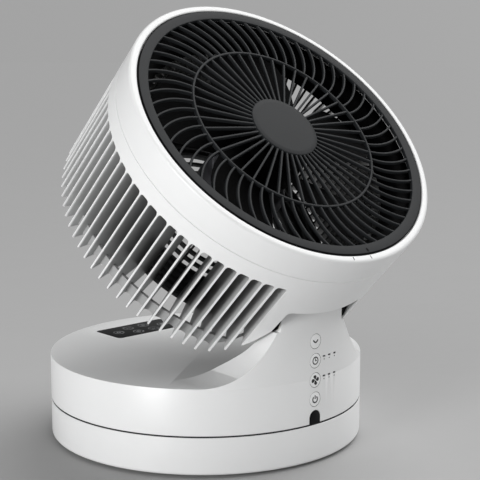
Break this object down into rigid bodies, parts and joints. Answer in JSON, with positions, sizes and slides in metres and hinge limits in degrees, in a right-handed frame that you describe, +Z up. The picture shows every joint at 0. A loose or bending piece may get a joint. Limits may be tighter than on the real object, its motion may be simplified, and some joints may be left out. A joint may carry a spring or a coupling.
{
  "type": "air circulator fan",
  "caption": "Table-top air circulator fan: a drum head with a finned side and a round grille, hinged on the neck of a round swivelling base.",
  "frame": {"origin": "centre of the bottom plate's underside, on the swivel axis of the round base", "axes": "+Z up, -Y towards the front, where the neck and the buttons are, +X to the right as seen from the front"},
  "size_m": [0.295, 0.3581, 0.3966],
  "materials": {
    "white_plastic": "satin white moulding",
    "black_plastic": "black moulding",
    "grille_plastic": "dark grey moulding",
    "rubber": "matt black",
    "steel": "plain",
    "dark_steel": "dark, dull",
    "copper": "varnished winding",
    "nylon": "natural",
    "circuit_board": "green laminate",
    "clear_lens": "frosted clear"
  },
  "bodies": {
    "base": {"base_ring": "white_plastic", "foot_flange": "white_plastic", "base_deck": "white_plastic", "bottom_plate": "black_plastic", "ballast_plate": "dark_steel", "base_screw_1": "steel", "base_screw_2": "steel", "base_screw_3": "steel", "base_screw_4": "steel", "foot_1": "rubber", "foot_2": "rubber", "foot_3": "rubber", "foot_4": "rubber", "foot_5": "rubber", "foot_6": "rubber", "foot_7": "rubber", "swivel_post": "nylon", "slip_ring": "nylon", "retaining_washer": "steel", "fixed_gear": "nylon", "post_nut": "steel", "cord_gland": "rubber"},
    "swivel": {"swivel_housing": "white_plastic", "swivel_floor": "black_plastic", "swing_motor": "steel", "control_board": "circuit_board", "timer_lights": "clear_lens", "speed_lights": "clear_lens", "ir_window": "black_plastic", "tilt_pin": "steel", "friction_washer_left": "nylon", "friction_washer_right": "nylon"},
    "pinion": {"swing_pinion": "nylon"},
    "drum": {"front_bezel": "white_plastic", "air_duct": "black_plastic", "rear_housing": "white_plastic", "rear_guard": "black_plastic", "motor_housing": "dark_steel", "motor_cover": "dark_steel", "motor_stator": "copper", "bearing_front": "steel", "bearing_rear": "steel", "tilt_bracket": "black_plastic"},
    "grille": {"front_grille": "grille_plastic"},
    "blades": {"impeller": "black_plastic", "impeller_nut": "black_plastic", "motor_shaft": "steel", "motor_rotor": "dark_steel"},
    "remote": {"remote_control": "black_plastic"},
    "swing_key": {"button_swing": "white_plastic"},
    "timer_key": {"button_timer": "white_plastic"},
    "speed_key": {"button_speed": "white_plastic"},
    "power_key": {"button_power": "white_plastic"}
  },
  "joints": [
    {"name": "swing", "type": "hinge", "parent": "base", "child": "swivel", "pos_m": [0, 0, 0.034], "axis": [0, 0, 1], "range_deg": [-40, 40]},
    {"name": "swing_pinion_spin", "type": "hinge", "parent": "swivel", "child": "pinion", "pos_m": [0, 0.048, 0.043], "axis": [0, 0, 1], "range_deg": [-120, 120]},
    {"name": "head_tilt", "type": "hinge", "parent": "swivel", "child": "drum", "pos_m": [0, -0.133, 0.1295], "axis": [1, 0, 0], "range_deg": [-44.5, 45.5]},
    {"name": "grille_twist", "type": "hinge", "parent": "drum", "child": "grille", "pos_m": [0, -0.10634, 0.29212], "axis": [0, -0.7009, 0.7133], "range_deg": [-8.5, 0]},
    {"name": "impeller_spin", "type": "hinge", "parent": "drum", "child": "blades", "pos_m": [0, -0.10634, 0.29212], "axis": [0, -0.7009, 0.7133], "continuous": true},
    {"name": "remote_lift", "type": "slide", "parent": "swivel", "child": "remote", "axis": [0, 0, 1], "range_m": [0, 0.03]},
    {"name": "swing_press", "type": "slide", "parent": "swivel", "child": "swing_key", "axis": [0, 1, 0], "range_m": [0, 0.001], "stiffness_N_per_m": 1500},
    {"name": "timer_press", "type": "slide", "parent": "swivel", "child": "timer_key", "axis": [0, 1, 0], "range_m": [0, 0.001], "stiffness_N_per_m": 1500},
    {"name": "speed_press", "type": "slide", "parent": "swivel", "child": "speed_key", "axis": [0, 1, 0], "range_m": [0, 0.001], "stiffness_N_per_m": 1500},
    {"name": "power_press", "type": "slide", "parent": "swivel", "child": "power_key", "axis": [0, 1, 0], "range_m": [0, 0.001], "stiffness_N_per_m": 1500}
  ],
  "couplings": [
    {"joint": "swing_pinion_spin", "follows": "swing", "ratio": 3}
  ]
}
